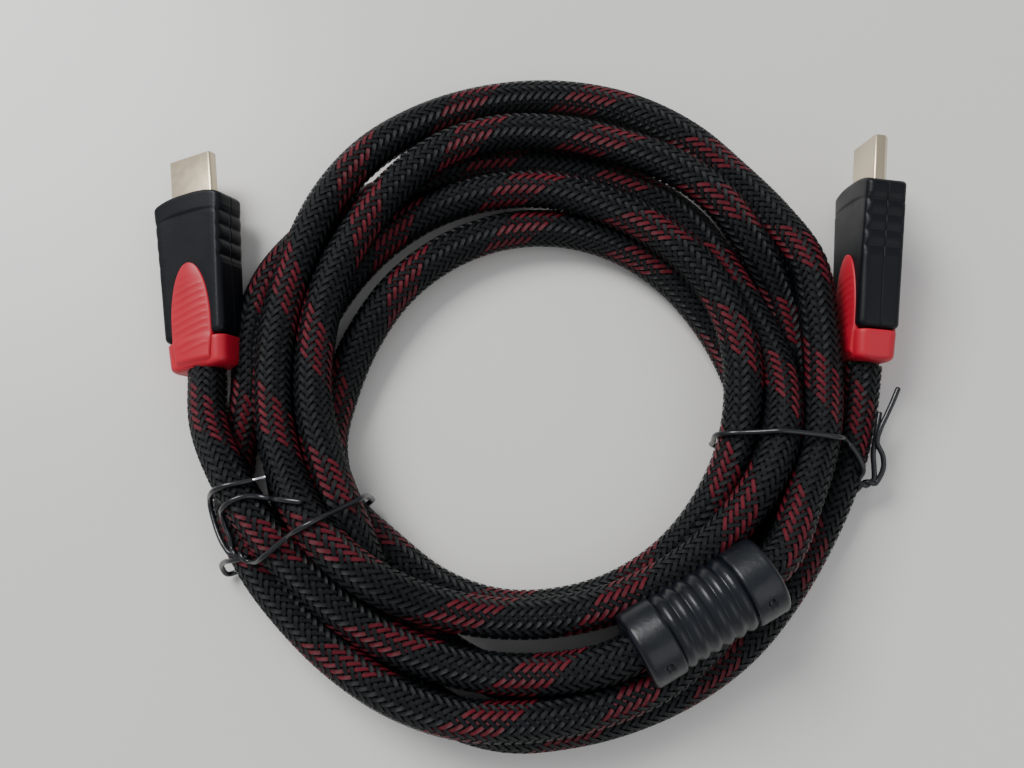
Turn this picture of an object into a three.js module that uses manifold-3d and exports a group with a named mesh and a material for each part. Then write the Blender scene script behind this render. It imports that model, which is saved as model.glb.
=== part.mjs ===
// A coiled cable with a moulded plug at each end, a ribbed choke and two twist ties, as it lies on a level surface.
// Millimetres, +Z up, X across the picture, Y away from the camera, origin under the middle of the whole.
import * as THREE from "three";
import { mergeVertices } from "three/addons/utils/BufferGeometryUtils.js";
import Module from "manifold-3d";

const wasm = await Module();
wasm.setup();

// Driving dimensions
const GAP = 0.3; // clearance between neighbours
const CABLE_D = 10.5; // over the woven sleeve

const PLUG = {
  shellWidth: 13.9, // plug shell, standard size
  shellHeight: 4.45,
  shellReach: 11.9, // stands out of the grip
  shellSeat: 8, // held inside the grip
  shellWall: 0.35,
  shellFootWidth: 9.9, // narrow side of the section
  shellFootRise: 1.6,
  blockRecess: 0.8, // contact block behind the mouth
  slotWidth: 11.2,
  slotHeight: 1.5,
  slotDepth: 7.5,
  gripWidth: 22.8,
  gripThick: 10.6,
  gripLength: 42.4,
  gripTailWidth: 19.4,
  gripCorner: 3.6, // the front face falls back towards its corners
  gripRound: 1.4,
  grooveCount: 4,
  grooveDepth: 0.75,
  groovePitch: 4.2,
  grooveStart: 6.8,
  collarLength: 6.9,
  collarWidth: 19,
  collarThick: 11.0,
  collarRound: 2.6,
  tongueLength: 22.4,
  tongueTaper: 16.5, // the rounded part of it
  tongueWidth: 13,
  tongueProud: 0.35,
  tongueInlay: 0.9,
};

const COIL = {
  // the hole and the outer edge are two ovals: centre and half-widths
  inner: { x: 5.5, y: -7.5, rx: 50.5, ry: 47.5 },
  outer: { x: 8.5, y: -1.5, rx: 79.5, ry: 92.5 },
  laneTops: [16.5, 19, 19.5, 16.5],
  footHalf: 2,
  footGroove: 1.8,
  segments: 40,
};

const CHOKE = {
  diameter: 20,
  length: 38.3,
  endLength: 8,
  ribCount: 6,
  ribDepth: 1.1,
  edge: 1,
  x: 46.2,
  y: -59.5,
  z: 20.6,
  turn: 29.8, // degrees from +X
};

const TIE_D = 1.4; // coated wire
const TIE_PACK = 0.38; // the two wires of a twist press into each other a little

const LEFT_PLUG = { x: -88, y: 53, roll: -23, pitch: 2.5, yaw: 6.8 };
const RIGHT_PLUG = { x: 98, y: 54.4, roll: -84, pitch: 7.5, yaw: -4.6 };

const material = (color, roughness, metalness = 0) =>
  new THREE.MeshStandardMaterial({ color, roughness, metalness });
const MATERIALS = {
  sleeve: material(0x24272b, 0.75),
  shell: material(0xc2ab7d, 0.3, 1),
  block: material(0x151515, 0.5),
  grip: material(0x2b3036, 0.5),
  collar: material(0xc8313a, 0.5),
  choke: material(0x23272d, 0.4),
  wire: material(0x2c3036, 0.35),
};

// Closed solids for cutting and joining
function solid(geometry) {
  const bare = (geometry.index ? geometry.toNonIndexed() : geometry).clone();
  for (const name of Object.keys(bare.attributes))
    if (name !== "position") bare.deleteAttribute(name);
  const merged = mergeVertices(bare, 1e-4);
  const made = new wasm.Manifold(
    new wasm.Mesh({
      numProp: 3,
      vertProperties: new Float32Array(merged.attributes.position.array),
      triVerts: new Uint32Array(merged.index.array),
    }),
  );
  if (made.volume() > 0) return made;
  const turned = new Uint32Array(merged.index.array);
  for (let i = 0; i < turned.length; i += 3)
    [turned[i + 1], turned[i + 2]] = [turned[i + 2], turned[i + 1]];
  return new wasm.Manifold(
    new wasm.Mesh({
      numProp: 3,
      vertProperties: new Float32Array(merged.attributes.position.array),
      triVerts: turned,
    }),
  );
}

function geometryOf(made) {
  const m = made.getMesh();
  const points = new Float32Array(m.numVert * 3);
  for (let i = 0; i < m.numVert; i++)
    for (let k = 0; k < 3; k++)
      points[i * 3 + k] = m.vertProperties[i * m.numProp + k];
  const geometry = new THREE.BufferGeometry()
    .setAttribute("position", new THREE.BufferAttribute(points, 3))
    .setIndex(new THREE.BufferAttribute(new Uint32Array(m.triVerts), 1));
  geometry.computeVertexNormals();
  return geometry;
}

function named(name, made, look) {
  const mesh = new THREE.Mesh(geometryOf(made), look);
  mesh.name = name;
  return mesh;
}

const v3 = (p) => new THREE.Vector3(...p);

// A round bar along a smooth curve through points
function tube(points, diameter, sides, steps) {
  const path = new THREE.CatmullRomCurve3(
    points.map((p) => (p.isVector3 ? p : v3(p))),
    false,
    "centripetal",
  );
  const section = new THREE.Shape();
  for (let i = 0; i < sides; i++) {
    const a = ((i + 0.5) / sides) * Math.PI * 2;
    section[i ? "lineTo" : "moveTo"](
      (Math.cos(a) * diameter) / 2,
      (Math.sin(a) * diameter) / 2,
    );
  }
  section.closePath();
  return solid(
    new THREE.ExtrudeGeometry(section, { steps, extrudePath: path }),
  );
}

function polygon(points) {
  const shape = new THREE.Shape();
  points.forEach(([x, y], i) => shape[i ? "lineTo" : "moveTo"](x, y));
  shape.closePath();
  return shape;
}

// A plate of outline (x, y) from z0 to z1 with its edges rounded by round
function plate(points, z0, z1, round = 0, segments = 2) {
  const geometry = new THREE.ExtrudeGeometry(polygon(points), {
    depth: z1 - z0 - 2 * round,
    bevelEnabled: round > 0,
    bevelThickness: round,
    bevelSize: round,
    bevelOffset: -round,
    bevelSegments: segments,
    steps: 1,
  });
  geometry.translate(0, 0, z0 + round);
  return solid(geometry);
}

// A bar of section (x, z) from y0 to y1
function bar(points, y0, y1) {
  const geometry = new THREE.ExtrudeGeometry(polygon(points), {
    depth: y1 - y0,
    bevelEnabled: false,
    steps: 1,
  });
  geometry.rotateX(Math.PI / 2); // (x, y, z) -> (x, -z, y)
  geometry.translate(0, y1, 0);
  return solid(geometry);
}

function roundedBox(width, thick, round, steps = 3) {
  const points = [];
  for (const [sx, sz, start] of [
    [1, 1, 0],
    [-1, 1, 90],
    [-1, -1, 180],
    [1, -1, 270],
  ])
    for (let i = 0; i <= steps; i++) {
      const a = THREE.MathUtils.degToRad(start + (90 * i) / steps);
      points.push([
        sx * (width / 2 - round) + Math.cos(a) * round,
        sz * (thick / 2 - round) + Math.sin(a) * round,
      ]);
    }
  return points;
}

// The shell's section: a broad top and a narrower foot, grown by a clearance
function shellSection(grow) {
  const w = PLUG.shellWidth / 2 + grow,
    h = PLUG.shellHeight / 2 + grow,
    f = PLUG.shellFootWidth / 2 + grow * 0.6,
    r = -PLUG.shellHeight / 2 + PLUG.shellFootRise - grow * 0.4,
    c = 0.5;
  return [
    [-f, -h],
    [f, -h],
    [w, r],
    [w, h - c],
    [w - c, h],
    [-w + c, h],
    [-w, h - c],
    [-w, r],
  ];
}

// A tongue's outline: half an oval from its tip to its full width, then straight
function tongueOutline(grow) {
  const rear = -PLUG.gripLength,
    tip = rear + PLUG.tongueLength,
    half = [];
  for (let i = 0; i <= 9; i++) {
    const t = (i / 9) ** 1.4;
    half.push([
      (PLUG.tongueWidth / 2) * Math.sqrt(1 - (1 - t) ** 2) + grow,
      tip - PLUG.tongueTaper * t + grow,
    ]);
  }
  half[0][0] = 0.01;
  half.push([PLUG.tongueWidth / 2 + grow, rear - 3]);
  return [...half, ...half.map(([x, y]) => [-x, y]).reverse()];
}

function buildPlug(side, place) {
  const group = new THREE.Group();

  // shell: folded metal, open at the mouth
  const shell = bar(shellSection(0), -PLUG.shellSeat, PLUG.shellReach).subtract(
    bar(
      shellSection(-PLUG.shellWall),
      -PLUG.shellSeat - 1,
      PLUG.shellReach + 1,
    ),
  );
  group.add(named(`plug_${side}_shell`, shell, MATERIALS.shell));

  // contact block: fills the shell behind the mouth and carries the contact slot
  const blockFront = PLUG.shellReach - PLUG.blockRecess;
  const block = bar(
    shellSection(-PLUG.shellWall - GAP / 2),
    -PLUG.shellSeat,
    blockFront,
  ).subtract(
    bar(
      [
        [-PLUG.slotWidth / 2, -PLUG.slotHeight / 2],
        [PLUG.slotWidth / 2, -PLUG.slotHeight / 2],
        [PLUG.slotWidth / 2, PLUG.slotHeight / 2],
        [-PLUG.slotWidth / 2, PLUG.slotHeight / 2],
      ],
      blockFront - PLUG.slotDepth,
      blockFront + 1,
    ),
  );
  group.add(named(`plug_${side}_contact_block`, block, MATERIALS.block));

  // grip: moulded over the shell, with finger grooves down its narrow sides
  const half = [];
  const w0 = PLUG.gripWidth / 2,
    w1 = PLUG.gripTailWidth / 2,
    L = PLUG.gripLength;
  const widthAt = (y) => w0 + ((w1 - w0) * -y) / L;
  const c = PLUG.gripCorner;
  half.push(
    [w0 - 1.8 * c, 0],
    [w0 - 0.75 * c, -0.18 * c],
    [w0 - 0.2 * c, -0.5 * c],
    [w0, -c],
  );
  for (let i = 0; i < PLUG.grooveCount; i++) {
    const y = -PLUG.grooveStart - i * PLUG.groovePitch,
      s = PLUG.groovePitch / 4;
    half.push([widthAt(y + s), y + s]);
    half.push([widthAt(y) - PLUG.grooveDepth, y]);
    half.push([widthAt(y - s), y - s]);
  }
  half.push([w1, -L]);
  let grip = plate(
    [...half, ...half.map(([x, y]) => [-x, y]).reverse()],
    -PLUG.gripThick / 2,
    PLUG.gripThick / 2,
    PLUG.gripRound,
  );
  // the rear face is cut square where the collar meets it
  const wide = PLUG.gripWidth;
  grip = grip.intersect(
    bar(
      [
        [-wide, -wide],
        [wide, -wide],
        [wide, wide],
        [-wide, wide],
      ],
      -L + PLUG.gripRound,
      5,
    ),
  );
  grip = grip.subtract(
    bar(shellSection(GAP), -PLUG.shellSeat - GAP, PLUG.shellReach),
  );

  // collar and its two tongues, one piece
  const collarFront = -L + PLUG.gripRound - GAP,
    collarRear = -L - PLUG.collarLength;
  let collar = bar(
    roundedBox(PLUG.collarWidth, PLUG.collarThick, PLUG.collarRound),
    collarRear,
    collarFront,
  );
  const top = PLUG.gripThick / 2;
  for (const s of [1, -1]) {
    const z0 = s > 0 ? top - PLUG.tongueInlay + GAP : -top - PLUG.tongueProud,
      z1 = s > 0 ? top + PLUG.tongueProud : -top + PLUG.tongueInlay - GAP;
    collar = collar.add(plate(tongueOutline(0), z0, z1));
    grip = grip.subtract(
      plate(
        tongueOutline(GAP),
        s > 0 ? top - PLUG.tongueInlay : -top - 2,
        s > 0 ? top + 2 : -top + PLUG.tongueInlay,
      ),
    );
  }
  group.add(named(`plug_${side}_grip`, grip, MATERIALS.grip));
  group.add(named(`plug_${side}_collar`, collar, MATERIALS.collar));

  group.position.set(place.x, place.y, 0);
  group.rotation.order = "ZXY";
  group.rotation.set(
    THREE.MathUtils.degToRad(place.pitch),
    THREE.MathUtils.degToRad(place.roll),
    THREE.MathUtils.degToRad(place.yaw),
  );
  group.updateMatrixWorld(true);
  group.position.z = -new THREE.Box3().setFromObject(group, true).min.z;
  group.updateMatrixWorld(true);
  return {
    group,
    exit: group.localToWorld(new THREE.Vector3(0, collarRear - GAP, 0)),
    behind: (d) =>
      group.localToWorld(new THREE.Vector3(0, collarRear - GAP - d, 0)),
  };
}

// The coil's section, lane by lane, grown by a clearance; its radius runs from the hole's to the outer edge's
const SECTION = { inner: COIL.inner.ry, outer: COIL.outer.ry };
function coilProfile(grow) {
  const lanes = COIL.laneTops.length,
    pitch = (SECTION.outer - SECTION.inner) / lanes,
    r = CABLE_D / 2,
    at = (i) => SECTION.inner + pitch * (i + 0.5),
    points = [];
  for (let i = 0; i < lanes; i++) {
    if (i) points.push([at(i) - pitch / 2, COIL.footGroove]);
    else points.push([at(i) - r * 0.72, r * 0.3]);
    points.push([at(i) - COIL.footHalf, 0], [at(i) + COIL.footHalf, 0]);
  }
  const last = lanes - 1;
  points.push([at(last) + r * 0.72, r * 0.3], [at(last) + r, r]);
  for (let i = last; i >= 0; i--) {
    const z = COIL.laneTops[i] - r;
    for (const a of [8, 50, 90, 130, 172]) {
      const t = THREE.MathUtils.degToRad(a);
      points.push([at(i) + Math.cos(t) * r, z + Math.sin(t) * r]);
    }
  }
  points.push([at(0) - r, r]);
  const grown = points.map(([x, y], i) => {
    const [ax, ay] = points[(i + points.length - 1) % points.length],
      [bx, by] = points[(i + 1) % points.length],
      l = Math.hypot(bx - ax, by - ay);
    return new THREE.Vector2(
      x + ((by - ay) / l) * grow,
      y - ((bx - ax) / l) * grow,
    );
  });
  grown.push(grown[0].clone());
  return grown;
}

function coilRing(grow) {
  const geometry = new THREE.LatheGeometry(coilProfile(grow), COIL.segments);
  geometry.rotateX(Math.PI / 2); // lathe axis Y -> Z
  const p = geometry.attributes.position,
    mix = THREE.MathUtils.lerp;
  for (let i = 0; i < p.count; i++) {
    const r = Math.hypot(p.getX(i), p.getY(i)),
      t = (r - SECTION.inner) / (SECTION.outer - SECTION.inner),
      { inner, outer } = COIL;
    p.setX(i, mix(inner.x, outer.x, t) + (p.getX(i) / r) * mix(inner.rx, outer.rx, t));
    p.setY(i, mix(inner.y, outer.y, t) + (p.getY(i) / r) * mix(inner.ry, outer.ry, t));
  }
  return solid(geometry);
}

// choke: ribbed body with a bore for the cable, lying on the turns
function chokeBody(grow, bore) {
  const R = CHOKE.diameter / 2 + grow,
    H = CHOKE.length / 2 + grow,
    e = CHOKE.edge,
    points = [];
  const inner = CHOKE.length / 2 - CHOKE.endLength;
  points.push([bore, -H], [R - e, -H], [R, -H + e]);
  if (bore) {
    const pitch = (2 * inner) / CHOKE.ribCount;
    for (let i = 0; i < CHOKE.ribCount; i++) {
      const y = -inner + pitch * (i + 0.5);
      points.push(
        [R, y - pitch * 0.25],
        [R - CHOKE.ribDepth, y - pitch * 0.14],
        [R - CHOKE.ribDepth, y + pitch * 0.14],
        [R, y + pitch * 0.25],
      );
    }
  }
  points.push([R, H - e], [R - e, H], [bore, H]);
  if (bore) points.push([bore, -H]);
  const geometry = new THREE.LatheGeometry(
    points.map(([x, y]) => new THREE.Vector2(x, y)),
    20,
  );
  geometry.rotateZ(-Math.PI / 2); // lathe axis Y -> X
  geometry.rotateZ(THREE.MathUtils.degToRad(CHOKE.turn));
  geometry.translate(CHOKE.x, CHOKE.y, CHOKE.z);
  return solid(geometry);
}

const part = new THREE.Group();

const left = buildPlug("left", LEFT_PLUG);
const right = buildPlug("right", RIGHT_PLUG);
part.add(left.group, right.group);

// the cable's turn through the choke
const along = (d, z) => {
  const a = THREE.MathUtils.degToRad(CHOKE.turn);
  return [CHOKE.x + Math.cos(a) * d, CHOKE.y + Math.sin(a) * d, z];
};
const chokeHalf = CHOKE.length / 2;
const chokeRun = [
  [along(-chokeHalf - 30, 0)[0] - 4, along(-chokeHalf - 30, 0)[1] + 7, 8],
  [along(-chokeHalf - 14, 0)[0], along(-chokeHalf - 14, 0)[1] + 1.6, 14],
  along(-chokeHalf - 2, CHOKE.z - 0.5),
  along(-chokeHalf + 6, CHOKE.z),
  along(chokeHalf - 6, CHOKE.z),
  along(chokeHalf + 2, CHOKE.z - 0.5),
  [along(chokeHalf + 13, 0)[0] - 2, along(chokeHalf + 13, 0)[1] + 1.5, 14],
  [along(chokeHalf + 28, 0)[0] - 9, along(chokeHalf + 28, 0)[1] + 6, 8],
];

// twist ties: each is one wire looped round the turns, twisted on the outer side, with two loose ends
const TIE_LEFT = {
  over: [
    [-65.4, -47.2, 16.5],
    [-63, -47.5, 19.8],
    [-60.6, -46.5, 22.9],
    [-57.5, -44.1, 24],
    [-54.5, -41.9, 25.4],
    [-52, -40.8, 28.5],
    [-48.6, -39.2, 29.9],
    [-45.4, -37.3, 28.7],
    [-42.9, -35.6, 25.9],
    [-40.3, -33.8, 23.3],
    [-37.8, -32, 20.7],
    [-37, -30.8, 17],
    [-37, -30.4, 12.9],
    [-36.9, -30.3, 8.8],
    [-36.9, -30.3, 4.8],
  ],
  under: [
    [-36.9, -30.3, 4.8],
    [-40, -32.2, 1.7],
    [-44.3, -34.4, 0.9],
    [-48.6, -36.7, 0.9],
    [-52.9, -38.9, 0.9],
    [-57.3, -41.1, 0.9],
    [-61.6, -43.3, 0.9],
    [-65.9, -45.5, 1],
    [-70.3, -47.7, 1.3],
    [-74.6, -49.6, 2.2],
    [-75.3, -47.8, 6.1],
    [-73.4, -46.9, 10.4],
    [-70.5, -46.8, 14.3],
  ],
  twist: [
    [-66.2, -46.5, 16.3],
    [-70.7, -44.6, 14.8],
  ],
  turns: 1,
  endA: [
    [-73.3, -42.6, 13.4],
    [-75.1, -39.6, 12.4],
    [-76.5, -36.4, 11.8],
    [-77.6, -33, 11.8],
    [-77.2, -30.9, 14.2],
    [-76.1, -30.5, 17.5],
    [-74.4, -29.9, 20.6],
    [-71.4, -29, 22.3],
    [-67.9, -28.3, 22.1],
    [-64.6, -27.4, 21.3],
    [-61.3, -26.8, 22.5],
  ],
  endB: [
    [-71.2, -41.1, 14.9],
    [-72.8, -37.8, 14.9],
    [-73.1, -35.4, 17],
    [-72.1, -34.5, 20.3],
    [-69.7, -32.9, 22.4],
    [-66.4, -31.7, 22.6],
    [-62.9, -31.6, 21.5],
    [-59.8, -32.2, 22.5],
    [-57.6, -32.7, 25.4],
    [-54.6, -33.2, 27.4],
    [-51.1, -33.7, 28.2],
  ],
};
const TIE_RIGHT = {
  over: [
    [90.4, -25.7, 9.5],
    [90.9, -23.7, 12.5],
    [89.3, -20.2, 13.9],
    [86.9, -17.3, 15.4],
    [84.8, -16.6, 18.6],
    [82.5, -16.7, 22],
    [78.7, -16.5, 23.4],
    [74.7, -16.1, 23.8],
    [70.6, -15.8, 24.6],
    [66.6, -15.6, 24.9],
    [62.9, -15.5, 23.1],
    [59.1, -15.4, 21.6],
    [55.3, -15.3, 20.3],
    [52.7, -15.1, 17.2],
    [52.6, -15.1, 13.2],
    [53.2, -15.4, 9.1],
    [53.4, -15.4, 5],
  ],
  under: [
    [53.4, -15.4, 5],
    [56.8, -16.3, 2],
    [61.4, -17.6, 1.2],
    [66, -19, 0.9],
    [70.7, -20.3, 0.9],
    [75.3, -21.7, 0.9],
    [80, -23, 1],
    [84.6, -24.4, 1.1],
    [89.2, -25.9, 1.7],
    [91.3, -27.7, 4.6],
  ],
  twist: [
    [90.6, -27.1, 8.6],
    [95, -26.1, 8.4],
  ],
  turns: 1,
  endA: [
    [95, -22.5, 9.1],
    [94.8, -18.9, 9.9],
    [95.2, -15.5, 11.1],
    [95.8, -12, 11.9],
    [96.6, -8.5, 12.1],
  ],
  endB: [
    [97.1, -23.1, 9.6],
    [97, -19.5, 10.7],
    [95.4, -16.2, 11.8],
    [96.3, -12.6, 12.7],
    [98, -9.2, 13.2],
    [99.7, -5.8, 13.6],
    [101.3, -2.3, 14],
  ],
};

function twisted(tie, phase, radius) {
  const [from, to] = tie.twist.map(v3),
    axis = to.clone().sub(from),
    side = new THREE.Vector3(0, 0, 1).cross(axis).normalize(),
    lift = axis.clone().normalize().cross(side);
  const points = [];
  const count = Math.round(tie.turns * 6);
  for (let i = 0; i <= count; i++) {
    const a = phase + (i / 6) * Math.PI * 2;
    points.push(
      from
        .clone()
        .addScaledVector(axis, i / count)
        .addScaledVector(side, Math.cos(a) * radius)
        .addScaledVector(lift, Math.sin(a) * radius),
    );
  }
  return points;
}

function buildTie(tie, grow) {
  const d = TIE_D + 2 * grow,
    wireA = [
      ...tie.endA.map(v3).reverse(),
      ...twisted(tie, 0, TIE_D * TIE_PACK).reverse(),
      ...tie.over.map(v3),
    ],
    wireB = [
      ...tie.under.map(v3),
      ...twisted(tie, Math.PI, TIE_D * TIE_PACK),
      ...tie.endB.map(v3),
    ];
  return tube(wireA, d, 6, 40).add(tube(wireB, d, 6, 46));
}

const ties = {
  left: buildTie(TIE_LEFT, 0),
  right: buildTie(TIE_RIGHT, 0),
};
const TIE_ROOM = 0.55; // all round the wires
const tieRoom = buildTie(TIE_LEFT, TIE_ROOM)
  .add(buildTie(TIE_RIGHT, TIE_ROOM))
  .add(ties.left)
  .add(ties.right);

const coil = coilRing(0)
  .subtract(chokeBody(GAP, 0))
  .add(tube(chokeRun, CABLE_D, 10, 28))
  .subtract(tieRoom);
part.add(named("cable_coil", coil, MATERIALS.sleeve));
part.add(
  named("ferrite_choke", chokeBody(0, CABLE_D / 2 + GAP), MATERIALS.choke),
);

const ringClear = coilRing(GAP * 1.5);
const leadLeft = tube(
  [
    left.exit,
    left.behind(6),
    [-79.4, -10.9, 12],
    [-74.6, -21.2, 15.7],
    [-67.9, -32.2, 16.7],
    [-59.9, -42.4, 17.7],
  ],
  CABLE_D,
  10,
  22,
);
const leadRight = tube(
  [
    right.exit,
    right.behind(6),
    [91.4, -10.3, 8],
    [87.7, -21.7, 7.8],
    [82.7, -33.6, 6.6],
    [75.9, -45.8, 5.4],
    [68.5, -56.4, 5.3],
  ],
  CABLE_D,
  10,
  22,
);
part.add(
  named("cable_lead_left", leadLeft.subtract(ringClear).subtract(tieRoom), MATERIALS.sleeve),
  named("cable_lead_right", leadRight.subtract(ringClear).subtract(tieRoom), MATERIALS.sleeve),
  named("twist_tie_left", ties.left, MATERIALS.wire),
  named("twist_tie_right", ties.right, MATERIALS.wire),
);

// the origin goes under the middle of the whole, on the level it lies on
const box = new THREE.Box3().setFromObject(part, true);
part.position.set(
  -(box.min.x + box.max.x) / 2,
  -(box.min.y + box.max.y) / 2,
  -box.min.z,
);

export default part;
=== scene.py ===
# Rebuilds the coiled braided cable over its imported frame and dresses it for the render.
import math
import bpy
import bmesh
from mathutils import Matrix, Vector


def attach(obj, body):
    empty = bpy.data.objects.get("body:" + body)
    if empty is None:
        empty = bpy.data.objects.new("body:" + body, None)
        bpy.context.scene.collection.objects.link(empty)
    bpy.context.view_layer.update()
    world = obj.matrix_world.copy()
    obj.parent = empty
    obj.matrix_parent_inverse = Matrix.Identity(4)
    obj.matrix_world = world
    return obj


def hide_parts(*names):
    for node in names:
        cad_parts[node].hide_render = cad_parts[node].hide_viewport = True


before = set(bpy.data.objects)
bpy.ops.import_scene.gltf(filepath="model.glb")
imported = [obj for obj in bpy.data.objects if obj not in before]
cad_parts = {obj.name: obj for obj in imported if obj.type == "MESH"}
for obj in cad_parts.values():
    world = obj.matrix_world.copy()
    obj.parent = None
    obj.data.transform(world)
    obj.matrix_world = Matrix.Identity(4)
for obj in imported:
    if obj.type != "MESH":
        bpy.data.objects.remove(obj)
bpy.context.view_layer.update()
mm = 0.001
print("frame loaded:", len(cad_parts), "nodes")

# Camera: its lens and place were fitted to the corners of both plugs
cameraSetup = {
    "lensMm": 35.156,
    "target": (-2.21, 1.55, 10.0),
    "elevation": 76.48,
    "distance": 266.83,
}


def makeCamera(size):
    e = math.radians(size["elevation"])
    back = Vector((0, -math.cos(e), math.sin(e)))
    right = Vector((1, 0, 0))
    up = back.cross(right)
    data = bpy.data.cameras.new("photoCamera")
    data.lens = size["lensMm"]
    data.sensor_width = 36
    data.clip_start = 0.01
    data.clip_end = 20
    camera = bpy.data.objects.new("photoCamera", data)
    bpy.context.scene.collection.objects.link(camera)
    place = (Vector(size["target"]) + back * size["distance"]) * mm
    turn = Matrix((right, up, back)).transposed().to_4x4()
    camera.matrix_world = Matrix.Translation(place) @ turn
    bpy.context.scene.camera = camera


makeCamera(cameraSetup)

# Cable route: the centreline from the left plug to the right one, in millimetres
cable = {
    "diameter": 10.5,
    "pitch": 38.0,  # one full turn of a strand round the cable
    "carriers": 16,  # each way
    "ribbonWidth": 1.08,
    "lift": 0.25,  # over and under of the weave
    "redCarriers": 6,  # neighbours of one hand in red
    "jacketDrop": 0.45,  # how far the dark jacket lies under the weave
    "step": 2.0,
    "route": [
        (-84.3, 5.3, 7.9), (-81.5, -9.7, 12.2), (-74.5, -23.8, 16.1), (-65.2, -37.3, 17.5),
        (-53.8, -49.2, 17.5), (-41.1, -59.6, 16.5), (-26.6, -67.4, 16.1), (-10.8, -71.8, 15.8),
        (5.6, -72.6, 16.8), (21.5, -69.8, 19.7), (36.1, -62.4, 20.6), (50.4, -54.3, 20.6),
        (63.5, -44.7, 20.2), (70.8, -30, 18.9), (76.6, -14.7, 17.2), (79.2, 1.4, 15.1),
        (79.4, 17.9, 14.9), (77.7, 34.2, 14.1), (70.3, 48.5, 11.2), (59.9, 61.1, 9.8),
        (48.1, 72.5, 9.6), (34.1, 81.1, 8.7), (18.4, 85.9, 7.9), (2, 86.5, 8.2),
        (-14, 83, 9.9), (-28.7, 76.1, 12.3), (-41.7, 66.3, 14.3), (-51.7, 53.3, 15.5),
        (-58.5, 38.3, 15.4), (-63, 22.5, 15.2), (-64.7, 6.1, 15.5), (-63.4, -10.3, 16.1),
        (-58.3, -25.5, 19.1), (-50, -38.8, 24.1), (-37.8, -49.5, 23.5), (-23.5, -56, 18.8),
        (-7.6, -59.1, 15.9), (8.8, -58.9, 15.3), (24.8, -55.1, 15.5), (39.5, -47.8, 16.4),
        (52.1, -37.5, 18.3), (61.8, -24.3, 20), (67.4, -9.1, 17.6), (67.7, 6.6, 13),
        (62.5, 21.7, 9.2), (55.9, 36.5, 6.4), (46.6, 49.9, 5.8), (33.2, 59.5, 5.5),
        (17.8, 65, 5.3), (1.4, 66.9, 5.3), (-14.9, 65.4, 5.3), (-30.7, 60.7, 5.3),
        (-45.7, 53.9, 5.3), (-59.3, 44.7, 5.3), (-69.4, 31.8, 5.3), (-73.7, 16, 5.3),
        (-73.3, -0.4, 5.3), (-75.6, -16.7, 5.3), (-74.8, -32.7, 7.3), (-66.9, -46.7, 10.6),
        (-56.2, -59.2, 11.9), (-43.9, -69.9, 13.6), (-29.8, -78.3, 15.1), (-14.1, -83.1, 15.4),
        (2.3, -83.5, 15.1), (18.5, -80.5, 14.9), (33.7, -74.4, 14.3), (46.7, -64.5, 12.7),
        (57.2, -52.1, 10.4), (66.1, -38.3, 9.3), (72.4, -23.2, 8.1), (75, -7, 6.3),
        (75.1, 9.4, 5.4), (71.9, 25.3, 7.5), (64.4, 39.1, 12.3), (54.9, 52.3, 14.7),
        (42, 62.5, 14.5), (26.8, 68.7, 14.2), (10.8, 72.3, 14.2), (-5.6, 72.3, 14.5),
        (-21.1, 66.9, 15.2), (-33.7, 56.5, 15.6), (-43.5, 43.2, 15.6), (-50.5, 28.4, 15.6),
        (-54, 12.3, 15), (-53.9, -4.1, 15.2), (-49.8, -19.9, 16.4), (-43.5, -35.1, 17.1),
        (-36.9, -49.5, 12.8), (-26.6, -61.2, 7.7), (-13.5, -70.8, 5.5), (2.1, -75.5, 5.3),
        (18.3, -73, 5.3), (32.8, -65.4, 5.3), (44.7, -54, 5.3), (54, -40.5, 5.4),
        (60.7, -25.5, 6.5), (62.5, -9.3, 6.8), (59, 6.7, 5.5), (51.6, 21.4, 5.3),
        (41.1, 34, 5.3), (27.4, 43.1, 5.4), (11.6, 47.4, 5.8), (-4.8, 46.4, 6.2),
        (-20, 40.4, 6.6), (-32.8, 30.1, 7), (-42.1, 16.6, 6.7), (-48.3, 1.4, 5.9),
        (-51.3, -14.8, 5.6), (-46.6, -30.2, 7), (-34.8, -41.6, 6.2), (-21.6, -51.4, 5.3),
        (-6.2, -56.7, 5.3), (10.3, -56.5, 5.3), (26, -51.8, 5.5), (39.5, -42.7, 7.3),
        (49.5, -30.2, 11.1), (55.8, -15.6, 14.9), (58.1, 0.6, 16.1), (56.1, 16.9, 16.6),
        (49, 31.6, 15.4), (37.4, 43.2, 14.4), (23.3, 51.6, 13.5), (7.6, 56.3, 12.3),
        (-8.7, 56.4, 10.4), (-24.4, 52.2, 8.1), (-38.3, 43.6, 6.1), (-49.3, 31.5, 5.3),
        (-57.2, 17.1, 5.3), (-62, 1.4, 5.3), (-63.5, -15, 5.4), (-59.8, -30.9, 6.6),
        (-52.1, -45.4, 6.7), (-42.9, -59, 5.4), (-32.5, -71.7, 5.3), (-19.7, -82, 5.3),
        (-4, -86.8, 5.3), (12.4, -85.8, 5.3), (28.3, -81.8, 5.3), (43.3, -75.1, 5.3),
        (56.7, -65.5, 5.3), (67.6, -53.2, 5.3), (76.6, -39.4, 5.7), (83.7, -24.7, 7.4),
        (89.1, -9.2, 8), (91.8, 6.9, 9.6),
    ],
}


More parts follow.
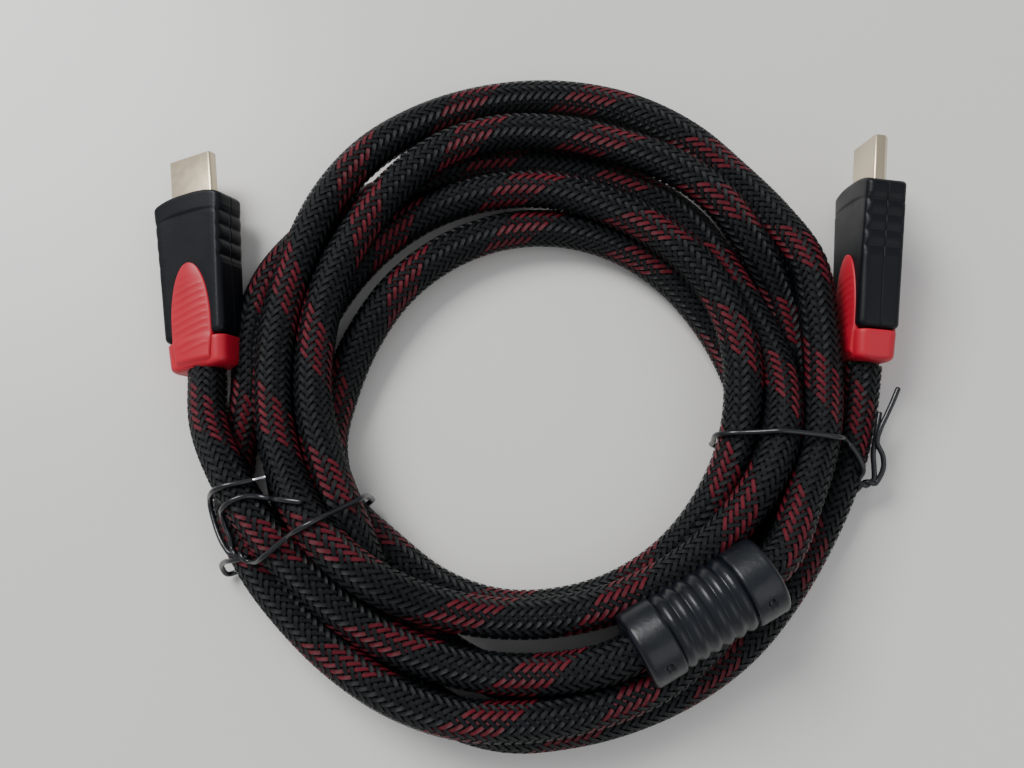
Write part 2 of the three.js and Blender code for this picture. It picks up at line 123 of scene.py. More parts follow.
# Evenly spaced points of a smooth curve through the given ones, and the curve's length
def smoothLine(points, step):
    fine = 24  # points between two given ones, before they are spaced
    pts = [Vector(p) for p in points]
    ext = [pts[0] * 2 - pts[1]] + pts + [pts[-1] * 2 - pts[-2]]
    dense = []
    for i in range(1, len(ext) - 2):
        a, b, c, d = ext[i - 1 : i + 3]
        t0 = 0.0
        t1 = t0 + (b - a).length ** 0.5
        t2 = t1 + (c - b).length ** 0.5
        t3 = t2 + (d - c).length ** 0.5
        for k in range(fine):
            t = t1 + (t2 - t1) * k / fine
            a1 = a * ((t1 - t) / (t1 - t0)) + b * ((t - t0) / (t1 - t0))
            a2 = b * ((t2 - t) / (t2 - t1)) + c * ((t - t1) / (t2 - t1))
            a3 = c * ((t3 - t) / (t3 - t2)) + d * ((t - t2) / (t3 - t2))
            b1 = a1 * ((t2 - t) / (t2 - t0)) + a2 * ((t - t0) / (t2 - t0))
            b2 = a2 * ((t3 - t) / (t3 - t1)) + a3 * ((t - t1) / (t3 - t1))
            dense.append(b1 * ((t2 - t) / (t2 - t1)) + b2 * ((t - t1) / (t2 - t1)))
    dense.append(pts[-1])
    lengths = [0.0]
    for p, q in zip(dense, dense[1:]):
        lengths.append(lengths[-1] + (q - p).length)
    total = lengths[-1]
    count = max(2, round(total / step))
    out, j = [], 0
    for i in range(count + 1):
        s = total * i / count
        while j < len(lengths) - 2 and lengths[j + 1] < s:
            j += 1
        span = lengths[j + 1] - lengths[j]
        out.append(dense[j].lerp(dense[j + 1], (s - lengths[j]) / span if span else 0))
    return out, total


def curveObject(name, points):
    data = bpy.data.curves.new(name, "CURVE")
    data.dimensions = "3D"
    spline = data.splines.new("POLY")
    spline.points.add(len(points) - 1)
    for point, p in zip(spline.points, points):
        point.co = (*(Vector(p) * mm), 1)
    obj = bpy.data.objects.new(name, data)
    bpy.context.scene.collection.objects.link(obj)
    return obj


# A node tree and the few calls that fill it
class Tree:
    def __init__(self, name, kind="GeometryNodeTree"):
        self.tree = bpy.data.node_groups.new(name, kind)
        self.nodes = self.tree.nodes
        self.links = self.tree.links
        self.inputs = self.nodes.new("NodeGroupInput")
        self.outputs = self.nodes.new("NodeGroupOutput")

    def socket(self, name, kind, side="INPUT", value=None):
        made = self.tree.interface.new_socket(name=name, in_out=side, socket_type=kind)
        if value is not None:
            made.default_value = value

    def put(self, kind, inputs=None, **settings):
        node = self.nodes.new(kind)
        for key, value in settings.items():
            setattr(node, key, value)
        for key, value in (inputs or {}).items():
            socket = node.inputs[key]
            if isinstance(value, bpy.types.NodeSocket):
                self.links.new(value, socket)
            else:
                socket.default_value = value
        return node

    def math(self, op, a, b=0.0):
        node = self.put("ShaderNodeMath", {0: a, 1: b}, operation=op)
        return node.outputs[0]

    def vmath(self, op, a, b=None, scale=None):
        inputs = {0: a}
        inputs.update({} if b is None else {1: b})
        inputs.update({} if scale is None else {"Scale": scale})
        node = self.put("ShaderNodeVectorMath", inputs, operation=op)
        return node.outputs["Vector"]

    def given(self, name):
        return self.inputs.outputs[name]

    def keep(self, geometry, name, value):  # stores a number on every point
        node = self.put(
            "GeometryNodeStoreNamedAttribute",
            {"Geometry": geometry, "Name": name, "Value": value},
            data_type="FLOAT",
            domain="POINT",
        )
        return node.outputs[0]


def wovenTree():
    t = Tree("wovenSleeve")
    t.socket("Geometry", "NodeSocketGeometry")
    for name, value in (
        ("Radius", 0.00525),
        ("Pitch", 0.038),
        ("Carriers", 16),
        ("Ribbon Width", 0.0014),
        ("Lift", 0.0002),
        ("Red Carriers", 4),
        ("Jacket Drop", 0.0004),
    ):
        t.socket(name, "NodeSocketFloat", value=value)
    for name in ("Sleeve", "Red", "Jacket"):
        t.socket(name, "NodeSocketMaterial")
    t.socket("Geometry", "NodeSocketGeometry", "OUTPUT")
    curve, radius, count = t.given("Geometry"), t.given("Radius"), t.given("Carriers")
    # one row of points for each crossing, two points across each ribbon
    length = t.put("GeometryNodeCurveLength", {0: curve}).outputs[0]
    twice, fourTimes = t.math("MULTIPLY", count, 2), t.math("MULTIPLY", count, 4)
    wanted = t.math("DIVIDE", t.math("MULTIPLY", length, twice), t.given("Pitch"))
    steps = t.math("ROUND", wanted)
    step = t.math("DIVIDE", length, steps)
    pitch = t.math("MULTIPLY", step, twice)
    size = {"Vertices X": t.math("ADD", steps, 1), "Vertices Y": fourTimes}
    grid = t.put("GeometryNodeMeshGrid", size).outputs["Mesh"]
    index = t.put("GeometryNodeInputIndex").outputs[0]
    row = t.math("FLOOR", t.math("DIVIDE", t.math("ADD", index, 0.5), fourTimes))
    column = t.math("SUBTRACT", index, t.math("MULTIPLY", row, fourTimes))
    carrier = t.math("FLOOR", t.math("DIVIDE", t.math("ADD", column, 0.5), 2))
    side = t.math("SUBTRACT", column, t.math("MULTIPLY", carrier, 2))
    lastOfFirst = t.math("SUBTRACT", count, 0.5)
    second = t.math("GREATER_THAN", carrier, lastOfFirst)  # carriers that run the other way
    hand = t.math("SUBTRACT", 1, t.math("MULTIPLY", second, 2))
    k = t.math("SUBTRACT", carrier, t.math("MULTIPLY", second, count))
    s = t.math("MULTIPLY", row, step)
    mesh = t.keep(grid, "carrier", carrier)
    mesh = t.keep(mesh, "across", side)
    mesh = t.keep(mesh, "along", s)
    # the ribbon's two edges stand square to its slant
    slant = t.math("ARCTANGENT", t.math("DIVIDE", t.math("MULTIPLY", radius, 2 * math.pi), pitch))
    sideSign = t.math("SUBTRACT", t.math("MULTIPLY", side, 2), 1)
    half = t.math("MULTIPLY", t.math("MULTIPLY", t.given("Ribbon Width"), 0.5), sideSign)
    slip = t.math("MULTIPLY", t.math("MULTIPLY", half, t.math("SINE", slant)), hand)
    at = t.math("MINIMUM", t.math("MAXIMUM", t.math("SUBTRACT", s, slip), 0), length)
    turns = t.math("MULTIPLY", hand, t.math("DIVIDE", s, pitch))
    turns = t.math("MULTIPLY", t.math("ADD", t.math("DIVIDE", k, count), turns), 2 * math.pi)
    aside = t.math("DIVIDE", t.math("MULTIPLY", half, t.math("COSINE", slant)), radius)
    theta = t.math("ADD", turns, aside)
    # over two, under two
    beat = t.math("ADD", t.math("MULTIPLY", k, 2), t.math("MULTIPLY", hand, row))
    phase = t.math("MULTIPLY", t.math("ADD", beat, -0.5), math.pi / 2)
    wave = t.math("MULTIPLY", t.math("COSINE", phase), hand)
    r = t.math("ADD", radius, t.math("MULTIPLY", wave, t.given("Lift")))
    sample = t.put(
        "GeometryNodeSampleCurve",
        {"Curves": curve, "Length": at},
        mode="LENGTH",
        use_all_curves=False,
    )
    normal = sample.outputs["Normal"]
    binormal = t.vmath("CROSS_PRODUCT", sample.outputs["Tangent"], normal)
    offset = t.vmath(
        "ADD",
        t.vmath("SCALE", normal, scale=t.math("MULTIPLY", t.math("COSINE", theta), r)),
        t.vmath("SCALE", binormal, scale=t.math("MULTIPLY", t.math("SINE", theta), r)),
    )
    where = t.vmath("ADD", sample.outputs["Position"], offset)
    place = t.put("GeometryNodeSetPosition", {"Geometry": mesh, "Position": where})
    # the faces between two carriers go, which leaves the ribbons
    named = t.put("GeometryNodeInputNamedAttribute", {"Name": "carrier"}, data_type="FLOAT")
    named = named.outputs["Attribute"]
    off = t.math("ABSOLUTE", t.math("SUBTRACT", named, t.math("ROUND", named)))
    cut = t.put(
        "GeometryNodeDeleteGeometry",
        {"Geometry": place.outputs[0], "Selection": t.math("GREATER_THAN", off, 0.2)},
        domain="FACE",
    )
    lastRed = t.math("SUBTRACT", t.math("ADD", count, t.given("Red Carriers")), 0.5)
    isRed = t.math(
        "MULTIPLY",
        t.math("GREATER_THAN", named, lastOfFirst),
        t.math("LESS_THAN", named, lastRed),
    )
    dress = "GeometryNodeSetMaterial"
    black = t.put(dress, {"Geometry": cut.outputs[0], "Material": t.given("Sleeve")})
    red = t.put(
        dress,
        {"Geometry": black.outputs[0], "Selection": isRed, "Material": t.given("Red")},
    )
    # the dark jacket under the weave
    spaced = t.put("GeometryNodeResampleCurve", {"Curve": curve, "Length": 0.006}, mode="LENGTH")
    ring = t.put(
        "GeometryNodeCurvePrimitiveCircle",
        {"Resolution": 12, "Radius": t.math("SUBTRACT", radius, t.given("Jacket Drop"))},
        mode="RADIUS",
    )
    tube = t.put(
        "GeometryNodeCurveToMesh",
        {"Curve": spaced.outputs[0], "Profile Curve": ring.outputs[0], "Fill Caps": True},
    )
    jacket = t.put(dress, {"Geometry": tube.outputs[0], "Material": t.given("Jacket")})
    join = t.nodes.new("GeometryNodeJoinGeometry")
    t.links.new(red.outputs[0], join.inputs[0])
    t.links.new(jacket.outputs[0], join.inputs[0])
    smooth = t.put(
        "GeometryNodeSetShadeSmooth",
        {"Geometry": join.outputs[0], "Shade Smooth": True},
    )
    real = t.put("GeometryNodeRealizeInstances", {"Geometry": smooth.outputs[0]})
    t.links.new(real.outputs[0], t.outputs.inputs["Geometry"])
    return t.tree


# Runs a tree on obj and leaves its result as a plain mesh of the same name
def grown(obj, tree, values):
    modifier = obj.modifiers.new("grow", "NODES")
    modifier.node_group = tree
    for item in tree.interface.items_tree:
        if item.item_type == "SOCKET" and item.in_out == "INPUT" and item.name in values:
            modifier[item.identifier] = values[item.name]
    bpy.context.view_layer.update()
    graph = bpy.context.evaluated_depsgraph_get()
    mesh = bpy.data.meshes.new_from_object(obj.evaluated_get(graph), depsgraph=graph)
    name = obj.name
    old = obj.data
    bpy.data.objects.remove(obj)
    if old.users == 0 and isinstance(old, bpy.types.Curve):
        bpy.data.curves.remove(old)
    made = bpy.data.objects.new(name, mesh)
    bpy.context.scene.collection.objects.link(made)
    return made


# Materials
def material(name, color, roughness, metallic=0.0, specular=0.5):
    mat = bpy.data.materials.new(name)
    mat.use_nodes = True
    shader = mat.node_tree.nodes["Principled BSDF"]
    shader.inputs["Base Color"].default_value = (*color, 1)
    shader.inputs["Roughness"].default_value = roughness
    shader.inputs["Metallic"].default_value = metallic
    shader.inputs["Specular IOR Level"].default_value = specular
    return mat, mat.node_tree, shader


def grainGroup():
    t = Tree("mouldedGrain", "ShaderNodeTree")
    t.socket("Scale", "NodeSocketFloat", value=1800.0)
    t.socket("Strength", "NodeSocketFloat", value=0.15)
    t.socket("Rough", "NodeSocketFloat", value=0.45)
    t.socket("Spread", "NodeSocketFloat", value=0.1)
    t.socket("Normal", "NodeSocketVector", "OUTPUT")
    t.socket("Roughness", "NodeSocketFloat", "OUTPUT")
    where = t.put("ShaderNodeTexCoord").outputs["Object"]
    fine = t.put("ShaderNodeTexNoise", {"Vector": where, "Scale": t.given("Scale"), "Detail": 3.0})
    broad = t.put("ShaderNodeTexNoise", {"Vector": where, "Scale": 160.0, "Detail": 4.0})
    bump = t.put(
        "ShaderNodeBump",
        {"Strength": t.given("Strength"), "Distance": 0.0002, "Height": fine.outputs["Fac"]},
    )
    shift = t.math("MULTIPLY", t.math("SUBTRACT", broad.outputs["Fac"], 0.5), t.given("Spread"))
    t.links.new(bump.outputs[0], t.outputs.inputs["Normal"])
    rough = t.math("ADD", t.given("Rough"), t.math("MULTIPLY", shift, 2))
    t.links.new(rough, t.outputs.inputs["Roughness"])
    return t.tree


grain = grainGroup()


# scale and strength are of the fine grain, spread of the roughness, tone of the colour
def mouldedPlastic(
    name, color, roughness, scale=1800.0, strength=0.15, spread=0.1, specular=0.5, tone=0.25
):
    mat, tree, shader = material(name, color, roughness, specular=specular)
    group = tree.nodes.new("ShaderNodeGroup")
    group.node_tree = grain
    values = {"Scale": scale, "Strength": strength, "Rough": roughness, "Spread": spread}
    for key, value in values.items():
        group.inputs[key].default_value = value
    tree.links.new(group.outputs["Normal"], shader.inputs["Normal"])
    tree.links.new(group.outputs["Roughness"], shader.inputs["Roughness"])
    where = tree.nodes.new("ShaderNodeTexCoord")
    noise = tree.nodes.new("ShaderNodeTexNoise")
    noise.inputs["Scale"].default_value = 90
    noise.inputs["Detail"].default_value = 5
    ramp = tree.nodes.new("ShaderNodeValToRGB")
    for stop, position, shade in zip(ramp.color_ramp.elements, (0.3, 0.7), (1 - tone, 1 + tone)):
        stop.position = position
        stop.color = (*[min(1, c * shade) for c in color], 1)
    tree.links.new(where.outputs["Object"], noise.inputs["Vector"])
    tree.links.new(noise.outputs["Fac"], ramp.inputs["Fac"])
    tree.links.new(ramp.outputs["Color"], shader.inputs["Base Color"])
    return mat


def filamentGroup():
    t = Tree("filaments", "ShaderNodeTree")
    t.socket("Count", "NodeSocketFloat", value=5.0)
    t.socket("Depth", "NodeSocketFloat", value=0.6)
    # Dark is painted shade for the ribbon edges and the grooves between filaments; Light is
    # painted highlight for the filament ridges and ribbon crowns
    t.socket("Dark", "NodeSocketColor", value=(0.01, 0.01, 0.01, 1))
    t.socket("Light", "NodeSocketColor", value=(0.1, 0.1, 0.1, 1))
    t.socket("Color", "NodeSocketColor", "OUTPUT")
    t.socket("Normal", "NodeSocketVector", "OUTPUT")
    t.socket("Rough", "NodeSocketFloat", "OUTPUT")
    across = t.put("ShaderNodeAttribute", attribute_name="across").outputs["Fac"]
    along = t.put("ShaderNodeAttribute", attribute_name="along").outputs["Fac"]
    carrier = t.put("ShaderNodeAttribute", attribute_name="carrier").outputs["Fac"]
    beat = t.math("MULTIPLY", t.math("MULTIPLY", across, t.given("Count")), math.pi)
    ridge = t.math("ABSOLUTE", t.math("SINE", beat))
    crown = t.math("MULTIPLY", t.math("MULTIPLY", across, t.math("SUBTRACT", 1, across)), 4)
    height = t.math("ADD", t.math("MULTIPLY", ridge, 0.45), crown)
    bump = t.put(
        "ShaderNodeBump",
        {"Strength": t.given("Depth"), "Distance": 0.0003, "Height": height},
    )
    apart = t.math("MULTIPLY", carrier, 0.37)  # each ribbon has its own stretch of the noise
    aside = t.math("MULTIPLY", across, 0.004)
    spot = t.put("ShaderNodeCombineXYZ", {0: along, 1: apart, 2: aside}).outputs[0]
    noise = t.put("ShaderNodeTexNoise", {"Vector": spot, "Scale": 260.0, "Detail": 2.0})
    # painted light: the colour runs from Dark to Light with the ridges and the crown of each
    # ribbon, so painted highlights on the middle and painted shade at the edges, made uneven by
    # the noise
    lit = t.math("ADD", t.math("MULTIPLY", ridge, 0.35), t.math("MULTIPLY", crown, 0.65))
    uneven = t.math("ADD", t.math("MULTIPLY", noise.outputs["Fac"], 1.2), 0.1)
    shade = t.math("MULTIPLY", lit, uneven)
    mix = t.put(
        "ShaderNodeMix",
        {"Factor": shade, 6: t.given("Dark"), 7: t.given("Light")},
        data_type="RGBA",
    )
    t.links.new(mix.outputs[2], t.outputs.inputs["Color"])
    t.links.new(bump.outputs[0], t.outputs.inputs["Normal"])
    rough = t.math("ADD", t.math("MULTIPLY", noise.outputs["Fac"], 0.3), 0.25)
    t.links.new(rough, t.outputs.inputs["Rough"])
    return t.tree


filaments = filamentGroup()


def nylon(name, dark, light, specular=0.6):
    mat, tree, shader = material(name, light, 0.4, specular=specular)
    group = tree.nodes.new("ShaderNodeGroup")
    group.node_tree = filaments
    group.inputs["Dark"].default_value = (*dark, 1)
    group.inputs["Light"].default_value = (*light, 1)
    tree.links.new(group.outputs["Color"], shader.inputs["Base Color"])
    tree.links.new(group.outputs["Normal"], shader.inputs["Normal"])
    tree.links.new(group.outputs["Rough"], shader.inputs["Roughness"])
    return mat


# each sleeve's two colours: the nylon's black or red, as painted shade (dark) and painted
# highlight (light) across each ribbon
sleeveBlack = nylon("sleeveBlack", (0.001, 0.0012, 0.0014), (0.009, 0.011, 0.013), 0.22)
sleeveRed = nylon("sleeveRed", (0.02, 0.002, 0.004), (0.17, 0.01, 0.022), 0.22)
jacketBlack = mouldedPlastic("jacketBlack", (0.002, 0.002, 0.0025), 0.8, specular=0.15)
gripBlack = mouldedPlastic("gripBlack", (0.004, 0.005, 0.007), 0.4, tone=0.15, specular=0.22)
collarRed = mouldedPlastic("collarRed", (0.46, 0.012, 0.028), 0.42, tone=0.06, specular=0.35)
chokeBlack = mouldedPlastic(
    "chokeBlack",
    (0.004, 0.006, 0.009),
    0.34,
    scale=900.0,
    strength=0.25,
    spread=0.2,
    specular=0.4,
    tone=0.3,
)
blockBlack = mouldedPlastic("blockBlack", (0.012, 0.012, 0.012), 0.5)
wireCoat = mouldedPlastic("wireCoat", (0.008, 0.009, 0.011), 0.25, scale=3000.0, strength=0.1)


def platedMetal(name, color, roughness):
    mat, tree, shader = material(name, color, roughness, metallic=1.0)
    where = tree.nodes.new("ShaderNodeTexCoord")
    noise = tree.nodes.new("ShaderNodeTexNoise")
    noise.inputs["Scale"].default_value = 500
    noise.inputs["Detail"].default_value = 6
    ramp = tree.nodes.new("ShaderNodeMapRange")
    ramp.inputs["To Min"].default_value = roughness - 0.06
    ramp.inputs["To Max"].default_value = roughness + 0.1
    tree.links.new(where.outputs["Object"], noise.inputs["Vector"])
    tree.links.new(noise.outputs["Fac"], ramp.inputs["Value"])
    tree.links.new(ramp.outputs[0], shader.inputs["Roughness"])
    return mat


shellGold = platedMetal("shellGold", (0.66, 0.56, 0.40), 0.32)
contactGold = platedMetal("contactGold", (0.85, 0.62, 0.25), 0.25)
wireBare = platedMetal("wireBare", (0.75, 0.75, 0.76), 0.2)

# The cable, one cord from plug to plug
routePoints, routeLength = smoothLine(cable["route"], cable["step"])
sleeve = grown(
    curveObject("cableSleeve", routePoints),
    wovenTree(),
    {
        "Radius": cable["diameter"] / 2 * mm - cable["lift"] * mm,
        "Pitch": cable["pitch"] * mm,
        "Carriers": float(cable["carriers"]),
        "Ribbon Width": cable["ribbonWidth"] * mm,
        "Lift": cable["lift"] * mm,
        "Red Carriers": float(cable["redCarriers"]),
        "Jacket Drop": cable["jacketDrop"] * mm,
        "Sleeve": sleeveBlack,
        "Red": sleeveRed,
        "Jacket": jacketBlack,
    },
)
print("cable woven:", len(sleeve.data.polygons), "faces,", round(routeLength), "mm long")
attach(sleeve, "root")
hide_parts("cable_coil", "cable_lead_left", "cable_lead_right")


# Points in millimetres become a closed piece in metres, with its faces pointing out
def meshPiece(name, verts, faces, mats, slots=None, sharp=None):
    mesh = bpy.data.meshes.new(name)
    mesh.from_pydata([tuple(c * mm for c in v) for v in verts], [], faces)
    for mat in mats:
        mesh.materials.append(mat)
    if slots:
        for polygon, slot in zip(mesh.polygons, slots):
            polygon.material_index = slot
    work = bmesh.new()
    work.from_mesh(mesh)
    bmesh.ops.remove_doubles(work, verts=work.verts, dist=1e-7)
    bmesh.ops.recalc_face_normals(work, faces=work.faces)
    if sharp:
        for edge in work.edges:
            turned = edge.is_manifold and edge.calc_face_angle(0) > math.radians(sharp)
            edge.smooth = not turned
    work.to_mesh(mesh)
    work.free()
    for polygon in mesh.polygons:
        polygon.use_smooth = True
    piece = bpy.data.objects.new(name, mesh)
    bpy.context.scene.collection.objects.link(piece)
    return piece


def loftFaces(rings, around, first=0, capStart=True, capEnd=True):
    faces = []
    for i in range(rings - 1):
        for j in range(around):
            k = (j + 1) % around
            a, b = first + i * around, first + (i + 1) * around
            faces.append((a + j, a + k, b + k, b + j))
    if capStart:
        faces.append(tuple(first + j for j in range(around)))
    if capEnd:
        faces.append(tuple(first + (rings - 1) * around + j for j in range(around)))
    return faces


# A rounded rectangle (x, z), with a mark for how far each point belongs to a narrow side
def boxRing(width, thick, rounding, sideHeights=(-1, -0.5, 0.5, 1)):
    corner, top = 6, 14  # steps round a corner and along a broad face
    r = min(rounding, width / 2 - 0.05, thick / 2 - 0.05)
    hx, hz = width / 2 - r, thick / 2 - r
    ring = []
    for sx, sz in ((1, 1), (-1, -1)):
        for f in sideHeights:  # up the right side, down the left one
            z = f if abs(f) < 0.5 else f * hz
            ring.append((sx * width / 2, sz * z, 1.0))
        for i in range(1, corner):
            a = math.pi / 2 * i / corner
            x, z = hx + r * math.cos(a), hz + r * math.sin(a)
            ring.append((sx * x, sz * z, math.cos(a) ** 2))
        for i in range(top + 1):
            ring.append((sx * hx * (1 - 2 * i / top), sz * thick / 2, 0.0))
        for i in range(1, corner):
            a = math.pi / 2 * (1 - i / corner)
            x, z = hx + r * math.cos(a), hz + r * math.sin(a)
            ring.append((-sx * x, sz * z, math.cos(a) ** 2))
    return ring


# Plugs: sizes in each plug's own frame, x across, y out of the mouth, z through the thickness
plug = {
    "places": {
        "left": (
            (-90.212, 54.55, 10.089),
            (0.916048, 0.092068, 0.390359),
            (-0.118291, 0.99202, 0.043619),
            (-0.383228, -0.086134, 0.919629),
        ),
        "right": (
            (95.788, 55.95, 16.103),
            (0.093781, -0.137776, 0.986014),
            (0.079513, 0.988251, 0.130526),
            (-0.992413, 0.06616, 0.103634),
        ),
    },
    "shellWidth": 13.9,
    "shellHeight": 4.45,
    "shellReach": 11.9,
    "shellWall": 0.35,
    "shellFoot": 9.9,
    "shellFootRise": 1.6,
    "gripWidth": 22.8,
    "gripTail": 19.4,
    "gripThick": 10.6,
    "gripLength": 41.0,
    "gripRound": 1.7,
    "gripRow": 0.35,  # distance of the grip's rows of points
    "frontInset": 3.2,  # the flat ring round the shell
    "frontEdge": 1.0,
    "tailEdge": 1.6,
    "waistAt": 0.62,  # the hollow behind the grooves, as a share of the length
    "waistSpread": 0.16,
    "waistDepth": 0.225,
    "faceDrop": 0.3,
    "faceSwell": 0.25,
    "seamDepth": 0.14,
    "seamHalf": 0.15,
    "cornerBack": 2.0,  # how far the front falls back at its corners
    "cornerRun": 9.0,
    "grooves": 4,
    "groovePitch": 4.2,
    "grooveStart": 6.8,
    "grooveDepth": 0.75,
    "grooveSoft": 0.45,
    "grooveSink": 0.12,
    "stepAt": 5.6,  # the arched step on the broad faces
    "stepArch": 2.4,
    "stepHeight": 0.4,
    "collarFront": 41.25,
    "collarRear": 49.3,
    "collarWidth": 19.0,
    "collarThick": 11.0,
    "collarRound": 2.8,
    "collarTaper": (0.9, 0.5),  # across and through, from front to rear
    "collarFrontEdge": 0.6,
    "collarRearEdge": 1.6,
    "tongueTip": 20.0,
    "tongueOval": 16.5,
    "tongueWidth": 13.0,
    "tongueProud": 0.42,
    "tongueDepth": 0.55,
    "tongueSink": 0.35,
    "tongueRows": 96,
    "tongueShort": 0.9,  # how far it ends before the collar's rear
    "tongueNarrow": 0.9,
    "tongueFall": 1.1,
    "tongueDome": 0.5,
    "tongueSoft": 0.22,
    "ribStart": 24.5,
    "ribEnd": 4.5,  # before the collar's rear
    "ribSpan": 0.9,  # of the half width
    "ribPitch": 2.1,
    "ribSlant": 0.22,
    "ribHeight": 0.16,
}


def smoothStep(x):
    x = min(1, max(0, x))
    return x * x * (3 - 2 * x)


def placed(side, points):
    origin, x, y, z = (Vector(v) for v in plug["places"][side])
    return [origin + x * p[0] + y * p[1] + z * p[2] for p in points]


def gripPiece(side):
    s = plug
    front, tail, length = s["frontEdge"], s["tailEdge"], s["gripLength"]
    quarter = [math.pi / 2 * i / 6 for i in range(7)]
    count = int((length - front - tail) / s["gripRow"])
    rows = [(0.0, s["frontInset"])]
    rows += [(-front * (1 - math.cos(a)), front * (1 - math.sin(a))) for a in quarter]
    rows += [(-y * s["gripRow"] - front, 0.0) for y in range(1, count)]
    rows += [(-length + tail * (1 - math.sin(a)), tail * (1 - math.cos(a))) for a in quarter]
    verts, around = [], 0
    for y, inset in rows:
        f = -y / length
        width = s["gripWidth"] + (s["gripTail"] - s["gripWidth"]) * f
        ring = boxRing(
            width - 2 * inset,
            s["gripThick"] - 2 * inset,
            max(0.5, s["gripRound"] - inset * 0.5),
            sideHeights=(-1, -0.45, -0.22, -0.1, 0.1, 0.22, 0.45, 1),
        )
        around = len(ring)
        q = (-y - s["grooveStart"]) / s["groovePitch"]
        cut = 0.0
        if -0.5 < q < s["grooves"] - 0.5:
            pillow = abs(math.sin(math.pi * q)) ** s["grooveSoft"]
            cut = s["grooveDepth"] * (1 - pillow) + s["grooveSink"]
        cut += s["waistDepth"] * math.exp(-(((f - s["waistAt"]) / s["waistSpread"]) ** 2))
        for x, z, sideMark in ring:
            u, flat = abs(x) / (width / 2), 1 - sideMark
            back = s["cornerBack"] * u**3 * smoothStep(1 + y / s["cornerRun"])
            seam = s["seamDepth"] if sideMark == 1.0 and abs(z) < s["seamHalf"] else 0.0
            rise = 0.0
            if inset < 1.5:
                arch = s["stepAt"] + s["stepArch"] * u**4
                rise = s["stepHeight"] * smoothStep((y + arch) / 0.5 + 0.5) * flat
                rise += s["faceSwell"] * (1 - u * u) * flat
            x2 = x - math.copysign(cut * sideMark + seam, x)
            verts.append((x2, y - back, z + math.copysign(rise - s["faceDrop"] * flat, z)))
    faces = loftFaces(len(rows), around)
    piece = meshPiece(f"plugGrip{side}", placed(side.lower(), verts), faces, [gripBlack], sharp=55)
    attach(piece, "root")
    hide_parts(f"plug_{side.lower()}_grip")
    return piece


def tongue(face, first):
    s = plug
    us = [-1, -1, -0.96, -0.88, -0.75, -0.6, -0.45, -0.3, -0.15]
    us += [0] + [-u for u in reversed(us)]
    n, count = len(us), s["tongueRows"]
    top, rear, depth = s["gripThick"] / 2, s["collarRear"], s["tongueDepth"]
    verts, faces = [], []
    for i in range(count):
        back = (rear - s["tongueShort"] - s["tongueTip"]) * (i / (count - 1)) ** 1.15
        y = -s["tongueTip"] - back
        q = min(1, back / s["tongueOval"])
        half = s["tongueWidth"] / 2 * math.sqrt(max(0.0004, 1 - (1 - q) ** 2))
        half -= s["tongueNarrow"] * smoothStep((-y - s["collarFront"] + 1) / 7)
        climb = smoothStep((-y - s["collarFront"] + 0.8) / 1.6)  # onto the collar
        base = top - depth + (s["collarThick"] / 2 - top + 0.05) * climb
        fall = s["tongueFall"] * smoothStep((-y - rear + 2.6) / 1.8)
        for k, u in enumerate(us):
            x = u * half
            dome = s["tongueDome"] * (1 - u * u) * min(1, half / 4)
            rib = 0.0
            if s["ribStart"] < -y < rear - s["ribEnd"] and abs(u) < s["ribSpan"]:
                wave = math.cos(2 * math.pi * (y - s["ribSlant"] * x) / s["ribPitch"])
                fade = smoothStep((-y - s["ribStart"]) / 3)
                fade *= smoothStep((s["ribSpan"] - abs(u)) / 0.15)
                rib = s["ribHeight"] * max(0, wave) ** 2 * fade
            soft = s["tongueSoft"] if k in (1, n - 2) else 0.0
            z = base + depth + s["tongueProud"] + dome + rib - soft - fall
            if k in (0, n - 1):
                z = base - s["tongueSink"]
            verts.append((x, y, face * z))
    for i in range(count - 1):
        for k in range(n - 1):
            a = first + i * n + k
            faces.append((a, a + 1, a + n + 1, a + n))
        a = first + i * n
        faces.append((a, a + n, a + 2 * n - 1, a + n - 1))
    faces.append(tuple(range(first, first + n)))
    faces.append(tuple(range(first + (count - 1) * n, first + count * n)))
    return verts, faces


def collarPiece(side):
    s = plug
    start, rear, (across, through) = s["collarFront"], s["collarRear"], s["collarTaper"]
    front, tail = s["collarFrontEdge"], s["collarRearEdge"]
    rows = []
    for i in range(5):
        a = math.pi / 2 * i / 4
        rows.append((-start - front * (1 - math.cos(a)), front * (1 - math.sin(a))))
    for i in range(9):
        rows.append((-start - front - (rear - start - front - tail) * i / 8, 0.0))
    for i in range(1, 8):
        a = math.pi / 2 * i / 7
        rows.append((-rear + tail * (1 - math.sin(a)), tail * (1 - math.cos(a))))
    verts, ring = [], []
    for y, inset in rows:
        f = (-y - start) / (rear - start)
        width = s["collarWidth"] - 2 * inset - across * f
        thick = s["collarThick"] - 2 * inset - through * f
        ring = boxRing(width, thick, s["collarRound"])
        verts += [(x, y, z) for x, z, mark in ring]
    faces = loftFaces(len(rows), len(ring))
    for face in (1, -1):
        more, moreFaces = tongue(face, len(verts))
        verts += more
        faces += moreFaces
    points = placed(side.lower(), verts)
    piece = meshPiece(f"plugCollar{side}", points, faces, [collarRed], sharp=50)
    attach(piece, "root")
    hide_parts(f"plug_{side.lower()}_collar")
    return piece


